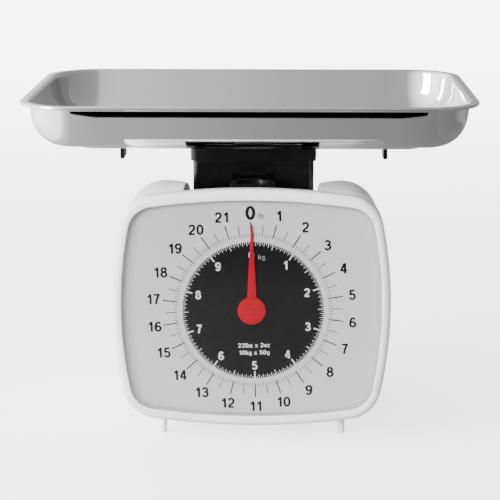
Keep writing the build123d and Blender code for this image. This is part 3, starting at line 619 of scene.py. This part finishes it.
def make_pointer():
    """Domed hub and a tapering blade with a soft ridge."""
    hub_r, hub_back, hub_front = 8.9 * MM, needle_high.y, needle_low.y
    profile = [(hub_r - 0.1 * MM, hub_back), (hub_r, hub_back - 0.3 * MM)]
    for step in range(1, 9):
        angle = math.pi / 2 * step / 8
        profile.append((hub_r - 1.0 * MM * (1 - math.cos(angle)), hub_back - 0.3 * MM
                        - (hub_back - hub_front - 0.35 * MM) * math.sin(angle)))
    profile += [(6.0 * MM, hub_front), (2.1 * MM, hub_front)]
    segments = 72
    rings = []
    for radius, y in profile:
        rings.append([(NEEDLE_X + radius * math.sin(2 * math.pi * i / segments), y,
                       ARBOR_Z + radius * math.cos(2 * math.pi * i / segments)) for i in range(segments)])
    vertices, faces = bridge_rings(rings, cap_start=True, cap_end=True)
    tip = needle_high.z - ARBOR_Z
    stations = [(0, 3.05), (6, 2.95), (12, 2.7), (24, 2.1), (36, 1.4), (48, 0.75), (tip / MM - 0.7, 0.38)]
    base = len(vertices)
    back_y, edge_y, ridge_y = hub_back, hub_back - 0.45 * MM, hub_back - 0.75 * MM
    for along, half in stations:
        z = ARBOR_Z + along * MM
        for x, y in ((-half, back_y), (-half, edge_y), (0, ridge_y), (half, edge_y), (half, back_y)):
            vertices.append((NEEDLE_X + x * MM, y, z))
    vertices.append((NEEDLE_X, (back_y + edge_y) / 2, ARBOR_Z + tip))
    for station in range(len(stations) - 1):
        low, high = base + station * 5, base + station * 5 + 5
        for side in range(5):
            after = (side + 1) % 5
            faces.append((low + side, low + after, high + after, high + side))
    last = base + (len(stations) - 1) * 5
    for side in range(5):
        faces.append((last + side, last + (side + 1) % 5, len(vertices) - 1))
    pointer = new_piece("needle_blade", vertices, faces, "needle_red", "needle", ["pointer"])
    sharpen(pointer, 30)


# ---------------------------------------------------------------- springs

def make_spring(name, node):
    """Close coil of drawn wire whose straight tails reach the yoke above and the carriage below."""
    low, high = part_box(node)
    centre_x, centre_y = (low.x + high.x) / 2, (low.y + high.y) / 2
    wire_r, coil_r = 0.6 * MM, 4.4 * MM
    lower_tail, upper_tail, lead_in = 11.8 * MM, 6.6 * MM, 1.6 * MM
    coil_low, coil_high = low.z + lower_tail, high.z - upper_tail
    turns, steps = 27, 20
    path = [Vector((centre_x, centre_y, low.z))]
    path.append(Vector((centre_x, centre_y, coil_low - lead_in)))
    for step in range(turns * steps + 1):
        angle = 2 * math.pi * step / steps
        grow = min(1, step / 6, (turns * steps - step) / 6)
        z = coil_low + (coil_high - coil_low) * step / (turns * steps)
        path.append(Vector((centre_x + grow * coil_r * math.cos(angle),
                            centre_y + grow * coil_r * math.sin(angle), z)))
    path.append(Vector((centre_x, centre_y, coil_high + lead_in)))
    path.append(Vector((centre_x, centre_y, high.z)))
    rings = []
    sides = 8
    for index, point in enumerate(path):
        ahead = path[min(index + 1, len(path) - 1)]
        behind = path[max(index - 1, 0)]
        tangent = (ahead - behind).normalized()
        helper = Vector((0, 0, 1)) if abs(tangent.z) < 0.8 else Vector((1, 0, 0))
        side = tangent.cross(helper).normalized()
        up = side.cross(tangent)
        rings.append([tuple(point + side * wire_r * math.cos(2 * math.pi * k / sides)
                            + up * wire_r * math.sin(2 * math.pi * k / sides)) for k in range(sides)])
    vertices, faces = bridge_rings(rings, cap_start=True, cap_end=True)
    spring = new_piece(name, vertices, faces, "spring_steel", None, [node])
    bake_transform(spring)


# ---------------------------------------------------------------- CAD nodes shown as they are

SLOT_OF = {entry["node"]: entry["material_slot"] for entry in frame["record"]["subparts"]}


def dress_nodes():
    """Gives every CAD node its own material and smooth shading, with its corners kept sharp."""
    for name, node in frame["nodes"].items():
        node.data.materials.clear()
        node.data.materials.append(MATERIALS[SLOT_OF[name]])
        if "custom_normal" in node.data.attributes:
            node.data.attributes.remove(node.data.attributes["custom_normal"])
        for polygon in node.data.polygons:
            polygon.use_smooth = True
        weld = node.modifiers.new("weld", "WELD")
        weld.merge_threshold = 1e-5
        sharpen(node, 28)


# ---------------------------------------------------------------- stage, light and camera

FLOOR_GLOW = 2.4


def make_stage():
    """Pale floor that curves up behind, and that glows only where the camera sees it."""
    rows = []
    half, front, back, curve_r, tall = 1.6, -0.2, 1.6, 1.2, 4.0
    for y in (front, 0.0, 0.6, back):
        rows.append((y, 0.0))
    curve_steps = 12
    for step in range(1, curve_steps + 1):
        angle = math.pi / 2 * step / curve_steps
        rows.append((back + curve_r * math.sin(angle), curve_r * (1 - math.cos(angle))))
    rows.append((back + curve_r, tall))
    vertices, faces = [], []
    for y, z in rows:
        vertices += [(-half, y, z), (half, y, z)]
    for index in range(len(rows) - 1):
        faces.append((2 * index, 2 * index + 1, 2 * index + 3, 2 * index + 2))
    floor_paint = new_material("floor_paint", (0.5, 0.5, 0.5), 0.6)
    vary_roughness(floor_paint, add_noise(floor_paint, 6), 0.5, 0.65)
    shader = floor_paint.node_tree.nodes["Principled BSDF"]
    seen = floor_paint.node_tree.nodes.new("ShaderNodeLightPath")
    glow = floor_paint.node_tree.nodes.new("ShaderNodeMapRange")
    glow.inputs["To Max"].default_value = FLOOR_GLOW
    shader.inputs["Emission Color"].default_value = (1, 1, 1, 1)
    floor_paint.node_tree.links.new(seen.outputs["Is Camera Ray"], glow.inputs["Value"])
    floor_paint.node_tree.links.new(glow.outputs["Result"], shader.inputs["Emission Strength"])
    mesh = bpy.data.meshes.new("studio_floor")
    mesh.from_pydata(vertices, [], faces)
    mesh.materials.append(floor_paint)
    for polygon in mesh.polygons:
        polygon.use_smooth = True
    floor = bpy.data.objects.new("studio_floor", mesh)
    bpy.context.scene.collection.objects.link(floor)
    floor.visible_glossy = False


def area_light(name, place, aim, width, height, power, mirrored=False):
    light = bpy.data.lights.new(name, "AREA")
    light.shape = "RECTANGLE"
    light.size, light.size_y = width, height
    light.energy = power
    lamp = bpy.data.objects.new(name, light)
    lamp.location = place
    lamp.rotation_euler = (Vector(aim) - Vector(place)).to_track_quat("-Z", "Y").to_euler()
    bpy.context.scene.collection.objects.link(lamp)
    lamp.visible_glossy = mirrored


# Slope of a direction at which the table ends in front of the scale, and how gradually it ends. The slope was
# tuned for the opening view, so that the tray mirrors the edge as a dark band under its rim.
TABLE_EDGE, TABLE_EDGE_BLUR = -0.4632, 0.0006
TABLE_BRIGHTNESS = 0.6


def brightness_ramp(nodes, stops):
    """Ramp over a direction's component, with (component from -1 to 1, brightness) stops."""
    ramp = nodes.new("ShaderNodeValToRGB")
    elements = ramp.color_ramp.elements
    while len(elements) < len(stops):
        elements.new(0.5)
    for element, (component, brightness) in zip(elements, stops):
        element.position = (component + 1) / 2
        element.color = (brightness, brightness, brightness, 1)
    return ramp


def surround_studio():
    """Room round the table: bright on the left, dim on the right, dark past the table's front edge."""
    world = bpy.data.worlds.new("studio")
    world.use_nodes = True
    nodes, links = world.node_tree.nodes, world.node_tree.links
    direction = nodes.new("ShaderNodeTexCoord")
    split = nodes.new("ShaderNodeSeparateXYZ")
    links.new(direction.outputs["Generated"], split.inputs["Vector"])

    def ramp_along(axis, stops):
        ramp = brightness_ramp(nodes, stops)
        shifted = nodes.new("ShaderNodeMapRange")
        shifted.inputs["From Min"].default_value = -1
        links.new(split.outputs[axis], shifted.inputs["Value"])
        links.new(shifted.outputs["Result"], ramp.inputs["Fac"])
        return ramp.outputs["Color"]

    def combine(operation, first, second):
        node = nodes.new("ShaderNodeVectorMath")
        node.operation = operation
        links.new(first, node.inputs[0])
        links.new(second, node.inputs[1])
        return node.outputs["Vector"]

    def calculate(operation, first, second):
        node = nodes.new("ShaderNodeMath")
        node.operation = operation
        for socket, value in zip(node.inputs, (first, second)):
            if isinstance(value, float):
                socket.default_value = value
            else:
                links.new(value, socket)
        return node.outputs["Value"]

    forward = calculate("MAXIMUM", calculate("MULTIPLY", split.outputs["Y"], -1.0), 0.01)
    slope = calculate("DIVIDE", split.outputs["Z"], forward)
    table = nodes.new("ShaderNodeMapRange")
    table.inputs["From Min"].default_value = TABLE_EDGE
    table.inputs["From Max"].default_value = TABLE_EDGE + TABLE_EDGE_BLUR
    table.inputs["To Min"].default_value = TABLE_BRIGHTNESS
    table.inputs["To Max"].default_value = 0
    links.new(slope, table.inputs["Value"])
    across = ramp_along("X", [(-1, 1.0), (-0.3, 0.42), (-0.13, 0.27), (0, 0.16), (0.11, 0.115), (1, 0.08)])
    upward = ramp_along("Z", [(-0.35, 0.0), (-0.31, 0.55), (-0.26, 0.55), (-0.235, 0.12), (0.0, 0.2),
                              (0.09, 1.0)])
    ends = ramp_along("X", [(-0.5, 1.0), (-0.2, 0.0), (0.2, 0.0), (0.5, 0.7)])
    front = combine("ADD", upward, table.outputs["Result"])
    product = combine("MULTIPLY", across, combine("MAXIMUM", front, ends))
    background = nodes["Background"]
    links.new(product, background.inputs["Color"])
    background.inputs["Strength"].default_value = 5.0
    bpy.context.scene.world = world


def light_studio():
    middle = (0, 0, 0.12)
    area_light("key_left", (-1.9, -1.2, 1.0), middle, 1.0, 1.4, 150, mirrored=True)
    area_light("front_fill", (-0.6, -2.2, 0.9), middle, 1.0, 0.8, 65)
    area_light("overhead", (-0.7, 0.5, 2.0), middle, 2.0, 1.6, 32)
    area_light("back_wash", (0, 1.2, 1.6), (0, 2.8, 0.9), 3.0, 1.0, 400)


def place_camera():
    camera = bpy.data.cameras.new("camera")
    camera.lens, camera.sensor_width = 118.6, 36
    camera.clip_end = 50
    holder = bpy.data.objects.new("camera", camera)
    holder.location = (0.0200, -1.0554, 0.3567)
    holder.rotation_euler = (math.radians(90 - 13.416), 0, math.radians(1.125))
    bpy.context.scene.collection.objects.link(holder)
    bpy.context.scene.camera = holder


dress_nodes()
make_tray()
make_bezel()
make_lens()
make_dial()
print_pounds()
print_kilograms()
make_pointer()
make_spring("left_coil", "left_spring")
make_spring("right_coil", "right_spring")
make_stage()
surround_studio()
light_studio()
place_camera()
